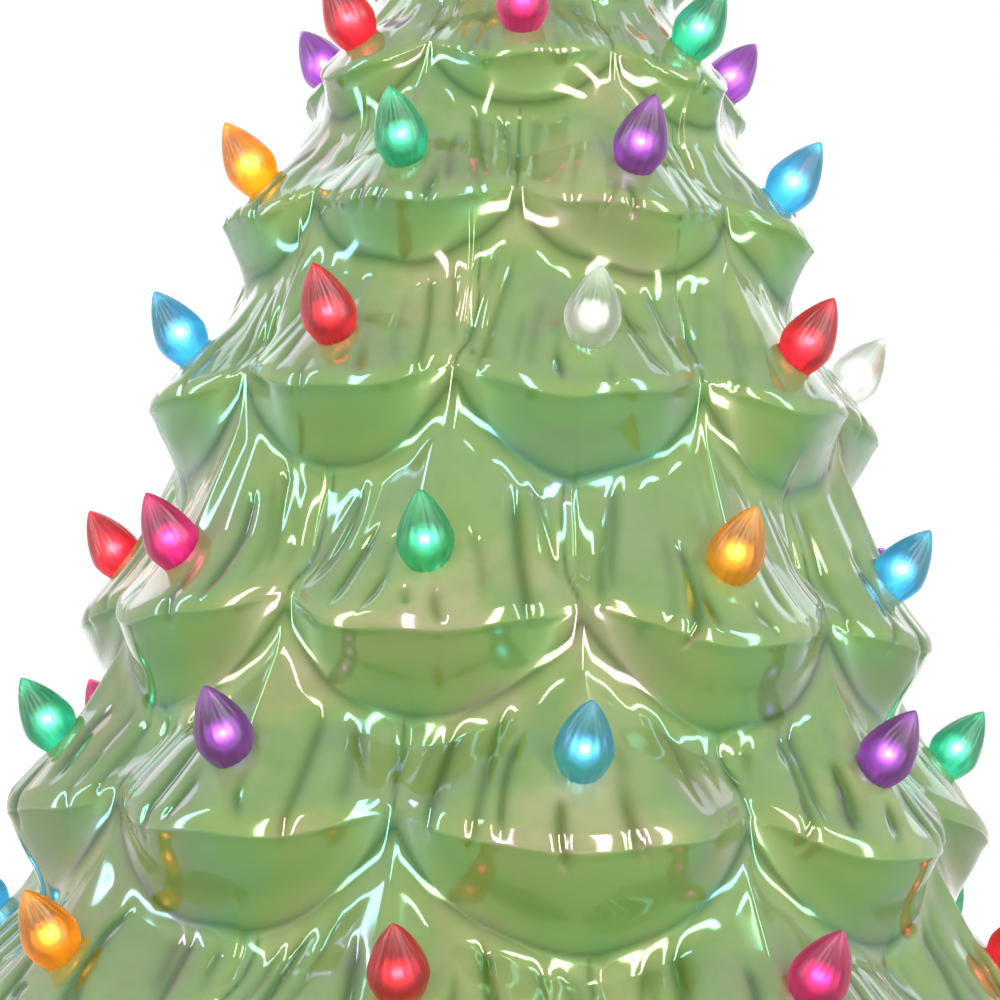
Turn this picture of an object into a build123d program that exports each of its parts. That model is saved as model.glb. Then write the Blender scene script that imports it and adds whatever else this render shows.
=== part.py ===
from build123d import *
from collections import namedtuple
from math import asin, cos, degrees, pi, radians, sin, tan
import os

# A hollow ceramic Christmas tree with plastic bulbs, standing on a ceramic base with a battery lamp.
# Millimetres, +Z up. The origin is on the table, under the middle of the tree. The front is -Y.

os.makedirs("parts", exist_ok=True)

# Rings of branches from the bottom up: how many branches, how far out and how high the lips are above
# the bottom edge of the tree, how far the first branch is turned from the front, and the bulbs in order.
Ring = namedtuple("Ring", "branches radius height turn bulbs")
RINGS = [
    Ring(9, 146, 20, -8.5, "red pink red green purple clear green blue orange"),
    Ring(9, 129, 70, 8.6, "blue purple green orange red clear pink green purple"),
    Ring(9, 113, 117.5, -10.3, "green orange blue purple green pink clear red pink"),
    Ring(9, 98, 174, -29, "red clear red clear orange purple green pink blue"),
    Ring(8, 81, 221, -23, "green purple blue pink clear red purple orange"),
    Ring(7, 61, 261, -1.4, "pink green purple orange blue purple red"),
    Ring(6, 42, 293, 25, "blue red green clear purple orange"),
    Ring(5, 24, 319, 0, "red clear blue pink green"),
]
COLOURS = ["red", "pink", "green", "orange", "blue", "purple", "clear"]

# Tree shell
TREE_WALL = 4.5
TREE_HEIGHT = 345.0
NECK_RADIUS = 118.0
TIP_RADIUS = 8.0
BRANCH_TILT = 21.0
BRANCH_CAP_ANGLE = 62.0

# Proportions of a branch, as shares of its own radius or of its ring's radius
BRANCH_OVERLAP = 1.42
LIP_SHARE = 0.13
UNDERSIDE_SHARE = 1.48
DEPTH_SHARE = 0.9
CORE_SHARE = 0.82
SKIRT_SHARE = 0.87
SKIRT_RISE_SHARE = 0.21
SEAT_SHARE = 0.4
INNER_EDGE_SHARE = 1.3

# Bulbs
BULB_LENGTH = 20.0
BULB_RADIUS = 6.7
BULB_WIDEST_HEIGHT = 6.6
BULB_BASE_RADIUS = 4.2
BULB_TIP_RADIUS = 1.7
BULB_ELEVATION = 55.0
STEM_RADIUS = 2.3
STEM_LENGTH = 11.0
STEM_CLEARANCE = 0.2
SEAT_CLEARANCE = 0.4
SEAT_SINK = 1.3
SEAT_BORE_DEPTH = 16.0

# Star
STAR_RADIUS = 19.0
STAR_INNER_RADIUS = 8.5
STAR_HALF_THICKNESS = 5.5
STAR_STALK_HEIGHT = 6.0
STAR_STALK_RADIUS = 4.0
STAR_COLLAR_RADIUS = 6.5
STAR_COLLAR_THICKNESS = 2.5
STAR_PEG_RADIUS = 2.8
STAR_PEG_LENGTH = 13.0
STAR_PEG_CLEARANCE = 0.4

# Base
FOOT_THICKNESS = 2.0
FOOT_RADIUS = 7.0
FOOT_COUNT = 4
BASE_HEIGHT = 30.5
BASE_FOOT_RADIUS = 106.0
BASE_FOOT_EDGE = 4.0
BASE_WAIST_RADIUS = 92.0
BASE_WALL = 5.5
FLANGE_LEDGE = 2.0
FLANGE_EDGE = 4.0
RIM_HEIGHT = 6.0
RIM_CLEARANCE = 1.0
FELT_THICKNESS = 1.5

# Battery bay
CELL_RADIUS = 7.1
CELL_LENGTH = 49.2
NUB_RADIUS = 2.7
NUB_LENGTH = 1.3
CELL_GAP = 0.8
CONTACT_THICKNESS = 0.5
CONTACT_HALF_WIDTH = 5.0
BUTTON_RADIUS = 2.4
BUTTON_HEIGHT = 1.0
SPRING_LENGTH = 4.5
SPRING_RADIUS = 4.0
SPRING_END_RADIUS = 2.6
BAY_WALL = 1.6

# Bottom plate, its door and its switch
PLATE_RECESS = 2.0
PLATE_THICKNESS = 2.5
PLATE_CLEARANCE = 1.0
DOOR_CLEARANCE = 0.4
HINGE_DROP = 0.8
HINGE_OFFSET = 2.4
KNUCKLE_RADIUS = 1.9
KNUCKLE_LENGTH = 16.0
LUG_LENGTH = 8.0
HINGE_PIN_RADIUS = 0.8
PIN_CLEARANCE = 0.15
SWITCH_DISTANCE = 58.0
SWITCH_LENGTH = 22.0
SWITCH_WIDTH = 9.0
SWITCH_HEIGHT = 7.0
SLIDER_LENGTH = 6.0
SLIDER_WIDTH = 4.0
SLIDER_TRAVEL = 6.0
SLIDER_PROUD = 1.2
SLIDER_DEPTH = 3.0
SLIDER_CLEARANCE = 0.3

# Lamp
POST_HEIGHT = 59.5
POST_RADIUS = 19.0
POST_BORE_RADIUS = 16.0
POST_FLANGE_RADIUS = 58.0
POST_FLANGE_THICKNESS = 3.0
COLLAR_RADIUS = 22.0
COLLAR_THICKNESS = 2.0
COLLAR_BELOW_TOP = 8.0
BOARD_THICKNESS = 1.6
BOARD_MARGIN = 0.5
LED_RADIUS = 2.5
LED_BODY_HEIGHT = 3.0
LED_RING_RADIUS = 11.0
LED_RING_COUNT = 6
DIFFUSER_WALL = 1.5
DIFFUSER_CLEARANCE = 0.8
DIFFUSER_SKIRT = 14.0
WIRE_RADIUS = 0.9
WIRE_SPACING = 4.0
WIRE_SWAY = 5.0
WIRE_BEND_RADIUS = 12.0

# Screws
SCREW_CIRCLE_RADIUS = 50.0
SCREW_COUNT = 3
SCREW_RADIUS = 1.4
SCREW_HEAD_RADIUS = 3.0
SCREW_HEAD_HEIGHT = 1.6
SCREW_CLEARANCE = 0.3
SCREW_TIP_ROOM = 2.0
BOSS_RADIUS = 5.0
BOSS_HEIGHT = 8.0

# Heights and radii that follow from the sizes above
flange_z = FOOT_THICKNESS + BASE_HEIGHT
deck_z = flange_z - BASE_WALL
tree_z = flange_z + FELT_THICKNESS
tip_z = tree_z + TREE_HEIGHT
neck_bore = NECK_RADIUS - TREE_WALL
base_bore = BASE_WAIST_RADIUS - BASE_WALL
plate_z = FOOT_THICKNESS + PLATE_RECESS
plate_top = plate_z + PLATE_THICKNESS
plate_radius = base_bore - PLATE_CLEARANCE
bay_length = CELL_LENGTH + NUB_LENGTH + BUTTON_HEIGHT + SPRING_LENGTH + 2 * CONTACT_THICKNESS
bay_width = 6 * CELL_RADIUS + 4 * CELL_GAP
cell_z = plate_top + CELL_GAP + CELL_RADIUS
bay_roof = cell_z + CELL_RADIUS + CELL_GAP
bay_top = bay_roof + BAY_WALL
post_top = flange_z + POST_HEIGHT
board_top = post_top + BOARD_THICKNESS
collar_top = post_top - COLLAR_BELOW_TOP
dome_z = collar_top + DIFFUSER_SKIRT
hinge_y = -bay_width / 2 - HINGE_OFFSET
hinge_z = plate_z - HINGE_DROP
screw_start = 270.0


def write(part, name):
    """Label a finished piece and write it to its own file."""
    part.label = name
    export_step(part, f"parts/{name}.step")


def branch_radius(ring):
    """Radius of a branch that just overlaps its neighbours in the ring."""
    overlap = BRANCH_OVERLAP * sin(pi / ring.branches)
    return ring.radius * overlap / (1 + overlap)


def branch_plane(ring):
    """Plane of a branch at the +X side: x runs out to the lip, y up the branch's own tilted axis."""
    tilt = radians(BRANCH_TILT)
    reach = branch_radius(ring)
    centre = (ring.radius - reach * cos(tilt), 0, tree_z + ring.height + reach * sin(tilt))
    return Plane(origin=centre, x_dir=(cos(tilt), 0, -sin(tilt)), z_dir=(0, -1, 0))


def cap_apex(reach):
    """Height of the cap's point above the lip, for a cone that runs smoothly into the rolled lip."""
    lip = LIP_SHARE * reach
    angle = radians(BRANCH_CAP_ANGLE)
    return lip * sin(angle) + (reach - lip + lip * cos(angle)) / tan(angle)


def branch_solid(ring):
    """One branch: a cone on top, a rolled lip and a rounded underside, turned about its tilted axis."""
    plane = branch_plane(ring)
    reach = branch_radius(ring)
    lip = LIP_SHARE * reach
    underside = UNDERSIDE_SHARE * reach
    depth = DEPTH_SHARE * reach
    with BuildPart() as branch:
        with BuildSketch(plane):
            with BuildLine():
                rolled = CenterArc((reach - lip, 0), lip, 0, BRANCH_CAP_ANGLE)
                below = CenterArc((reach - underside, 0), underside, 0, -degrees(asin(depth / underside)))
                Polyline(below @ 1, (0, -depth), (0, cap_apex(reach)), rolled @ 1)
            make_face()
        revolve(axis=Axis(plane.origin, plane.y_dir))
    return branch.part


def branch_hollow(ring):
    """The hollow inside one branch, a wall's thickness in from its cap, lip and underside."""
    plane = branch_plane(ring)
    reach = branch_radius(ring)
    angle = radians(BRANCH_CAP_ANGLE)
    depth = DEPTH_SHARE * reach
    underside = UNDERSIDE_SHARE * reach
    foot = reach - underside + (underside**2 - depth**2) ** 0.5 - TREE_WALL
    apex = cap_apex(reach) - TREE_WALL / sin(angle)
    edge = reach - INNER_EDGE_SHARE * TREE_WALL
    with BuildPart() as hollow:
        with BuildSketch(plane):
            with BuildLine():
                Polyline((0, apex), (edge, apex - edge / tan(angle)), (foot, -depth), (0, -depth), close=True)
            make_face()
        revolve(axis=Axis(plane.origin, plane.y_dir))
    return hollow.part


def core_solid(inset):
    """The stepped cone that the branches stand on, drawn in by an inset from the neck up to the tip. At
    each ring it flares out to a skirt that fills the valleys between the branches."""
    profile = [(0, tree_z), (NECK_RADIUS - inset, tree_z)]
    for ring in RINGS:
        lip_z = tree_z + ring.height
        skirt_z = lip_z + SKIRT_RISE_SHARE * branch_radius(ring)
        profile += [(CORE_SHARE * ring.radius - inset, lip_z), (SKIRT_SHARE * ring.radius - inset, skirt_z)]
    profile += [(TIP_RADIUS - inset, tip_z), (0, tip_z)]
    with BuildPart() as core:
        with BuildSketch(Plane.XZ):
            with BuildLine():
                Polyline(*profile, close=True)
            make_face()
        revolve(axis=Axis.Z)
    return core.part


def with_branches(core, branches):
    """A core with every ring of branches joined on, cut flat at the neck."""
    with BuildPart() as joined:
        add(core)
        for ring, branch in zip(RINGS, branches):
            with PolarLocations(0, ring.branches, ring.turn - 90):
                add(branch)
        split(bisect_by=Plane.XY.offset(tree_z), keep=Keep.TOP)
    return joined.part


def bulb_seats():
    """The place of every bulb, by colour: on the front of its branch, leaning out and up."""
    seats = {colour: [] for colour in COLOURS}
    lean = radians(BULB_ELEVATION)
    cap = radians(BRANCH_CAP_ANGLE)
    for ring in RINGS:
        reach = branch_radius(ring)
        lip = LIP_SHARE * reach
        along = reach - lip + lip * cos(cap) - SEAT_SHARE * reach * sin(cap)
        above = lip * sin(cap) + SEAT_SHARE * reach * cos(cap)
        on_cap = branch_plane(ring).from_local_coords(Vector(along, above))
        sunk = on_cap - Vector(cos(lean), 0, sin(lean)) * SEAT_SINK
        seat = Plane(origin=sunk, x_dir=(0, 1, 0), z_dir=(cos(lean), 0, sin(lean))).location
        for index, colour in enumerate(ring.bulbs.split()):
            turn = ring.turn - 90 + 360 / ring.branches * index
            seats[colour].append(Location((0, 0, 0), (0, 0, turn)) * seat)
    return seats


seats = bulb_seats()
all_seats = [seat for colour in COLOURS for seat in seats[colour]]
outer = with_branches(core_solid(0), [branch_solid(ring) for ring in RINGS])
inner = with_branches(core_solid(TREE_WALL), [branch_hollow(ring) for ring in RINGS])

# Tree: the hollow shell, a flat seat and a bore for each bulb, and the star's socket at the tip
with BuildPart() as tree_shell:
    add(outer)
    add(inner, mode=Mode.SUBTRACT)
    upward = (Align.CENTER, Align.CENTER, Align.MIN)
    downward = (Align.CENTER, Align.CENTER, Align.MAX)
    with Locations(*all_seats):
        Cone(
            BULB_BASE_RADIUS + SEAT_CLEARANCE,
            BULB_RADIUS + SEAT_CLEARANCE,
            BULB_WIDEST_HEIGHT / 2,
            align=upward,
            mode=Mode.SUBTRACT,
        )
        Cylinder(STEM_RADIUS + STEM_CLEARANCE, SEAT_BORE_DEPTH, align=downward, mode=Mode.SUBTRACT)
    with Locations((0, 0, tip_z)):
        Cylinder(STAR_PEG_RADIUS + STAR_PEG_CLEARANCE, 2 * STAR_PEG_LENGTH, mode=Mode.SUBTRACT)
write(tree_shell.part, "tree_shell")

# Bulb: a teardrop on a stem, standing on its seat
with BuildPart() as bulb:
    with BuildSketch(Plane.XZ):
        with BuildLine():
            shoulder = Spline(
                (BULB_BASE_RADIUS, 0),
                (BULB_RADIUS, BULB_WIDEST_HEIGHT),
                (BULB_TIP_RADIUS, BULB_LENGTH - BULB_TIP_RADIUS / 2),
                (0, BULB_LENGTH),
                tangents=((BULB_RADIUS - BULB_BASE_RADIUS, BULB_WIDEST_HEIGHT / 2), (-1, 0)),
            )
            Polyline(shoulder @ 1, (0, -STEM_LENGTH), (STEM_RADIUS, -STEM_LENGTH), (STEM_RADIUS, 0), shoulder @ 0)
        make_face()
    revolve(axis=Axis.Z)

for colour in COLOURS:
    with BuildPart() as bulbs:
        with Locations(*seats[colour]):
            add(bulb.part)
    write(bulbs.part, f"{colour}_bulbs")

# Star: two low five-pointed pyramids back to back on a stalk, a collar and a peg
collar_z = tip_z + STAR_COLLAR_THICKNESS
star_z = collar_z + STAR_STALK_HEIGHT + STAR_INNER_RADIUS
star_points = [
    (radius * sin(pi * (2 * point + half) / 5), star_z + radius * cos(pi * (2 * point + half) / 5))
    for point in range(5)
    for half, radius in enumerate((STAR_RADIUS, STAR_INNER_RADIUS))
]
with BuildSketch(Plane.XZ) as star_outline:
    with BuildLine():
        Polyline(*star_points, close=True)
    make_face()

with BuildPart() as star_topper:
    for side in (-STAR_HALF_THICKNESS, STAR_HALF_THICKNESS):
        loft(sections=[star_outline.sketch.face(), Vertex(0, side, star_z)])
    with BuildSketch(Plane.XZ):
        with BuildLine():
            Polyline(
                (0, tip_z - STAR_PEG_LENGTH),
                (STAR_PEG_RADIUS, tip_z - STAR_PEG_LENGTH),
                (STAR_PEG_RADIUS, tip_z),
                (STAR_COLLAR_RADIUS, tip_z),
                (STAR_COLLAR_RADIUS, collar_z),
                (STAR_STALK_RADIUS, collar_z),
                (STAR_PEG_RADIUS, star_z),
                (0, star_z),
                close=True,
            )
        make_face()
    revolve(axis=Axis.Z)
write(star_topper.part, "star_topper")

# Base: a waisted ceramic foot with a flange for the tree, a locating rim and a deck
rim_radius = neck_bore - RIM_CLEARANCE
flange_radius = NECK_RADIUS + FLANGE_LEDGE
with BuildPart() as ceramic_base:
    with BuildSketch(Plane.XZ):
        with BuildLine():
            waist = Spline(
                (BASE_FOOT_RADIUS, FOOT_THICKNESS + BASE_FOOT_EDGE),
                (BASE_WAIST_RADIUS, FOOT_THICKNESS + BASE_HEIGHT / 2),
                (flange_radius, flange_z - FLANGE_EDGE),
                tangents=((-1, 1), (1, 1)),
            )
            Polyline(
                waist @ 1,
                (flange_radius, flange_z),
                (rim_radius, flange_z),
                (rim_radius, flange_z + RIM_HEIGHT),
                (rim_radius - BASE_WALL, flange_z + RIM_HEIGHT),
                (rim_radius - BASE_WALL, flange_z),
                (POST_BORE_RADIUS, flange_z),
                (POST_BORE_RADIUS, deck_z),
                (base_bore, deck_z),
                (base_bore, FOOT_THICKNESS),
                (BASE_FOOT_RADIUS, FOOT_THICKNESS),
                waist @ 0,
            )
        make_face()
    revolve(axis=Axis.Z)
    with BuildSketch(Plane.XY.offset(flange_z)):
        with PolarLocations(SCREW_CIRCLE_RADIUS, SCREW_COUNT, screw_start):
            Circle(SCREW_RADIUS + 2 * SCREW_CLEARANCE)
    extrude(amount=-BASE_WALL, mode=Mode.SUBTRACT)
write(ceramic_base.part, "ceramic_base")

# Felt ring between the flange and the tree's neck
with BuildPart() as felt_ring:
    with BuildSketch(Plane.XY.offset(flange_z)):
        Circle(NECK_RADIUS)
        Circle(neck_bore, mode=Mode.SUBTRACT)
    extrude(amount=FELT_THICKNESS)
write(felt_ring.part, "felt_ring")

# Rubber feet under the foot of the base
with BuildPart() as rubber_feet:
    with BuildSketch(Plane.XY):
        with PolarLocations((BASE_FOOT_RADIUS + base_bore) / 2, FOOT_COUNT, 45):
            Circle(FOOT_RADIUS)
    extrude(amount=FOOT_THICKNESS)
write(rubber_feet.part, "rubber_feet")

# Bottom plate: a disc with the battery bay, three screw pillars, two hinge lugs and the switch's slot
slot_length = SLIDER_LENGTH + SLIDER_TRAVEL + 2 * SLIDER_CLEARANCE
slot_width = SLIDER_WIDTH + 2 * SLIDER_CLEARANCE
slot_centre = (SLIDER_TRAVEL / 2, SWITCH_DISTANCE)
knuckle_gap = KNUCKLE_LENGTH / 2 + DOOR_CLEARANCE
with BuildPart() as bottom_plate:
    with BuildSketch(Plane.XY.offset(plate_z)):
        Circle(plate_radius)
    extrude(amount=PLATE_THICKNESS)
    with BuildSketch(Plane.XY.offset(plate_top)):
        Rectangle(bay_length + 2 * BAY_WALL, bay_width + 2 * BAY_WALL)
    extrude(amount=bay_top - plate_top)
    with BuildSketch(Plane.XY.offset(plate_top)):
        with PolarLocations(SCREW_CIRCLE_RADIUS, SCREW_COUNT, screw_start):
            Circle(BOSS_RADIUS)
    extrude(amount=deck_z - plate_top)
    with BuildSketch(Plane.XY.offset(plate_z)):
        Rectangle(bay_length, bay_width)
    extrude(amount=bay_roof - plate_z, mode=Mode.SUBTRACT)
    with BuildSketch(Plane.YZ.offset(knuckle_gap)):
        with Locations((hinge_y, hinge_z)):
            Circle(KNUCKLE_RADIUS)
            Rectangle(2 * KNUCKLE_RADIUS, HINGE_DROP, align=(Align.CENTER, Align.MIN))
    extrude(amount=LUG_LENGTH)
    mirror(about=Plane.YZ, mode=Mode.ADD)
    with BuildSketch(Plane.XY.offset(plate_z)):
        with Locations((0, -bay_width / 2)):
            notch_width = HINGE_OFFSET + KNUCKLE_RADIUS + DOOR_CLEARANCE
            Rectangle(2 * knuckle_gap, notch_width, align=(Align.CENTER, Align.MAX))
    extrude(amount=PLATE_THICKNESS, mode=Mode.SUBTRACT)
    with Locations((0, hinge_y, hinge_z)):
        Cylinder(
            HINGE_PIN_RADIUS, 2 * (knuckle_gap + LUG_LENGTH), rotation=(0, 90, 0), mode=Mode.SUBTRACT
        )
    with BuildSketch(Plane.XY.offset(plate_z)):
        with PolarLocations(SCREW_CIRCLE_RADIUS, SCREW_COUNT, screw_start):
            Circle(SCREW_RADIUS + SCREW_CLEARANCE)
        with Locations(slot_centre):
            Rectangle(slot_length, slot_width)
    extrude(amount=deck_z - plate_z, mode=Mode.SUBTRACT)
write(bottom_plate.part, "bottom_plate")

# Door of the battery bay, with its hinge knuckle
with BuildPart() as battery_door:
    with BuildSketch(Plane.XY.offset(plate_z)):
        Rectangle(bay_length - 2 * DOOR_CLEARANCE, bay_width - 2 * DOOR_CLEARANCE)
    extrude(amount=PLATE_THICKNESS)
    with BuildSketch(Plane.YZ.offset(-KNUCKLE_LENGTH / 2)):
        with Locations((hinge_y, hinge_z)):
            Circle(KNUCKLE_RADIUS)
            Rectangle(
                HINGE_OFFSET + 2 * DOOR_CLEARANCE, KNUCKLE_RADIUS, align=(Align.MIN, Align.MIN)
            )
    extrude(amount=KNUCKLE_LENGTH)
    with Locations((0, hinge_y, hinge_z)):
        Cylinder(
            HINGE_PIN_RADIUS + PIN_CLEARANCE, KNUCKLE_LENGTH, rotation=(0, 90, 0), mode=Mode.SUBTRACT
        )
write(battery_door.part, "battery_door")

# Pin of the door's hinge
with BuildPart() as door_hinge_pin:
    with Locations((0, hinge_y, hinge_z)):
        Cylinder(HINGE_PIN_RADIUS, 2 * (knuckle_gap + LUG_LENGTH), rotation=(0, 90, 0))
write(door_hinge_pin.part, "door_hinge_pin")

# Cells, side by side and turned end for end: a can with a nub that meets its button contact
contact_face = bay_length / 2 - CONTACT_THICKNESS
nub_tip = contact_face - BUTTON_HEIGHT
cell_pitch = 2 * CELL_RADIUS + CELL_GAP
cells = {"left_cell": (-cell_pitch, 1), "middle_cell": (0, -1), "right_cell": (cell_pitch, 1)}
for name, (cell_y, end) in cells.items():
    with BuildPart() as cell:
        with BuildSketch(Plane.YZ.offset(end * (nub_tip - NUB_LENGTH))):
            with Locations((cell_y, cell_z)):
                Circle(CELL_RADIUS)
        extrude(amount=-end * CELL_LENGTH)
        with BuildSketch(Plane.YZ.offset(end * (nub_tip - NUB_LENGTH))):
            with Locations((cell_y, cell_z)):
                Circle(NUB_RADIUS)
        extrude(amount=end * NUB_LENGTH)
    write(cell.part, name)

# Contacts: a plate at each end of a cell, with a button at its nub and a conical spring at its can
with BuildPart() as button_contacts:
    for cell_y, end in cells.values():
        with BuildSketch(Plane.YZ.offset(end * contact_face)):
            with Locations((cell_y, cell_z)):
                Rectangle(2 * CONTACT_HALF_WIDTH, 2 * CONTACT_HALF_WIDTH)
        extrude(amount=end * CONTACT_THICKNESS)
        with BuildSketch(Plane.YZ.offset(end * contact_face)):
            with Locations((cell_y, cell_z)):
                Circle(BUTTON_RADIUS)
        extrude(amount=-end * BUTTON_HEIGHT)
write(button_contacts.part, "button_contacts")

with BuildPart() as spring_contacts:
    for cell_y, end in cells.values():
        with BuildSketch(Plane.YZ.offset(-end * contact_face)):
            with Locations((cell_y, cell_z)):
                Rectangle(2 * CONTACT_HALF_WIDTH, 2 * CONTACT_HALF_WIDTH)
        extrude(amount=-end * CONTACT_THICKNESS)
        with Locations((-end * contact_face, cell_y, cell_z)):
            Cone(SPRING_RADIUS, SPRING_END_RADIUS, SPRING_LENGTH, rotation=(0, 90 * end, 0), align=upward)
write(spring_contacts.part, "spring_contacts")

# Switch: a body on the plate with a slot for the slider's foot, and the slider in its off place
with BuildPart() as switch_body:
    with BuildSketch(Plane.XY.offset(plate_top)):
        with Locations(slot_centre):
            Rectangle(SWITCH_LENGTH, SWITCH_WIDTH)
    extrude(amount=SWITCH_HEIGHT)
    with BuildSketch(Plane.XY.offset(plate_top)):
        with Locations(slot_centre):
            Rectangle(slot_length, slot_width)
    extrude(amount=SLIDER_DEPTH + SLIDER_CLEARANCE, mode=Mode.SUBTRACT)
write(switch_body.part, "switch_body")

with BuildPart() as switch_slider:
    with BuildSketch(Plane.XY.offset(plate_z - SLIDER_PROUD)):
        with Locations((0, SWITCH_DISTANCE)):
            Rectangle(SLIDER_LENGTH, SLIDER_WIDTH)
    extrude(amount=SLIDER_PROUD + PLATE_THICKNESS + SLIDER_DEPTH)
write(switch_slider.part, "switch_slider")

# Lamp post: a flange on the deck with three screw bosses, a column and a collar for the diffuser
with BuildPart() as lamp_post:
    with BuildSketch(Plane.XZ):
        with BuildLine():
            Polyline(
                (POST_BORE_RADIUS, flange_z),
                (POST_FLANGE_RADIUS, flange_z),
                (POST_FLANGE_RADIUS, flange_z + POST_FLANGE_THICKNESS),
                (POST_RADIUS, flange_z + POST_FLANGE_THICKNESS),
                (POST_RADIUS, collar_top - COLLAR_THICKNESS),
                (COLLAR_RADIUS, collar_top - COLLAR_THICKNESS),
                (COLLAR_RADIUS, collar_top),
                (POST_RADIUS, collar_top),
                (POST_RADIUS, post_top),
                (POST_BORE_RADIUS, post_top),
                close=True,
            )
        make_face()
    revolve(axis=Axis.Z)
    with BuildSketch(Plane.XY.offset(flange_z + POST_FLANGE_THICKNESS)):
        with PolarLocations(SCREW_CIRCLE_RADIUS, SCREW_COUNT, screw_start):
            Circle(BOSS_RADIUS)
    extrude(amount=BOSS_HEIGHT)
    with BuildSketch(Plane.XY.offset(flange_z)):
        with PolarLocations(SCREW_CIRCLE_RADIUS, SCREW_COUNT, screw_start):
            Circle(SCREW_RADIUS)
    extrude(amount=POST_FLANGE_THICKNESS + BOSS_HEIGHT - SCREW_TIP_ROOM, mode=Mode.SUBTRACT)
write(lamp_post.part, "lamp_post")

# Screws, from under the plate up into the bosses of the lamp post
screw_tip = flange_z + POST_FLANGE_THICKNESS + BOSS_HEIGHT - SCREW_TIP_ROOM
with BuildPart() as plate_screws:
    with BuildSketch(Plane.XY.offset(plate_z - SCREW_HEAD_HEIGHT)):
        with PolarLocations(SCREW_CIRCLE_RADIUS, SCREW_COUNT, screw_start):
            Circle(SCREW_HEAD_RADIUS)
    extrude(amount=SCREW_HEAD_HEIGHT)
    with BuildSketch(Plane.XY.offset(plate_z)):
        with PolarLocations(SCREW_CIRCLE_RADIUS, SCREW_COUNT, screw_start):
            Circle(SCREW_RADIUS)
    extrude(amount=screw_tip - plate_z)
write(plate_screws.part, "plate_screws")

# Circuit board on top of the post
with BuildPart() as led_board:
    with BuildSketch(Plane.XY.offset(post_top)):
        Circle(POST_RADIUS - BOARD_MARGIN)
    extrude(amount=BOARD_THICKNESS)
write(led_board.part, "led_board")

# Lamps on the board: a ring of small domes and one in the middle
with BuildPart() as leds:
    with Locations((0, 0, board_top)):
        with PolarLocations(LED_RING_RADIUS, LED_RING_COUNT):
            Cylinder(LED_RADIUS, LED_BODY_HEIGHT, align=upward)
        Cylinder(LED_RADIUS, LED_BODY_HEIGHT, align=upward)
    with Locations((0, 0, board_top + LED_BODY_HEIGHT)):
        with PolarLocations(LED_RING_RADIUS, LED_RING_COUNT):
            Sphere(LED_RADIUS)
        Sphere(LED_RADIUS)
write(leds.part, "leds")

# Diffuser: a frosted dome that stands on the collar around the board
diffuser_bore = POST_RADIUS + DIFFUSER_CLEARANCE
diffuser_radius = diffuser_bore + DIFFUSER_WALL
with BuildPart() as light_diffuser:
    with BuildSketch(Plane.XZ):
        with BuildLine():
            outside = CenterArc((0, dome_z), diffuser_radius, 0, 90)
            inside = CenterArc((0, dome_z), diffuser_bore, 0, 90)
            Line(outside @ 1, inside @ 1)
            Polyline(outside @ 0, (diffuser_radius, collar_top), (diffuser_bore, collar_top), inside @ 0)
        make_face()
    revolve(axis=Axis.Z)
write(light_diffuser.part, "light_diffuser")

# Leads from the roof of the battery bay up through the post to the board
rise = post_top - bay_top
for name, side in (("red_wire", 1), ("black_wire", -1)):
    foot = side * WIRE_SPACING
    route = [
        (foot, 0, bay_top),
        (foot, 0, bay_top + rise / 3),
        (foot + side * WIRE_SWAY, WIRE_SWAY, bay_top + 2 * rise / 3),
        (foot + side * WIRE_SWAY, WIRE_SWAY, post_top),
    ]
    with BuildPart() as wire:
        with BuildLine() as wire_path:
            FilletPolyline(*route, radius=WIRE_BEND_RADIUS)
        with BuildSketch(Plane.XY.offset(bay_top)):
            with Locations((foot, 0)):
                Circle(WIRE_RADIUS)
        sweep(path=wire_path.wire())
    write(wire.part, name)
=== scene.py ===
# %% [markdown]
# # A ceramic Christmas tree with plastic bulbs
# The real object is a hollow slip-cast tree in a pale green lustre glaze, with rings of draped branches
# and one fluted plastic bulb on each. The CAD model holds its sizes and joints, and this lesson gives it
# its looks. Every new surface is worked out with numpy in the CAD's own frame, in metres, so nothing has
# to be moved into place afterwards.

# %% Loading the fixed frame
import math

import bpy
import numpy as np
from mathutils import Matrix, Vector


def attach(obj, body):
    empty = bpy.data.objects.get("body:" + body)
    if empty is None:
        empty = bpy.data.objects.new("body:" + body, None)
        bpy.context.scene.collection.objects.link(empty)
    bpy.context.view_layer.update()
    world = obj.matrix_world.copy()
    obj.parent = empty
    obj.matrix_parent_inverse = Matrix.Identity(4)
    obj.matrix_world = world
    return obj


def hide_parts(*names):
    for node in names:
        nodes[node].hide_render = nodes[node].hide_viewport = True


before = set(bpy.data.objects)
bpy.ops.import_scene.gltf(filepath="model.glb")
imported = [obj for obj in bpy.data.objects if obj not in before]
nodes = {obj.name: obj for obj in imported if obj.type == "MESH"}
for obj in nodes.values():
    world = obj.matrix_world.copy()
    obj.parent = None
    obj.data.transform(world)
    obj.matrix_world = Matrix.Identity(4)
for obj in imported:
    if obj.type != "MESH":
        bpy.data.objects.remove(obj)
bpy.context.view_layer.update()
MM = 0.001

# %% [markdown]
# ## Turning a grid of points into a mesh
# A vase, a bulb or a branch can all be drawn as a sheet of points with two parameters: one runs up the
# shape and one runs round it. Blender could spin a curve instead, but a grid in numpy lets any formula
# shape every point at once. The helper below closes the sheet round its second parameter, and closes its
# ends either with a flat face or by joining the last row to the first, as on a ring.


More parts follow.
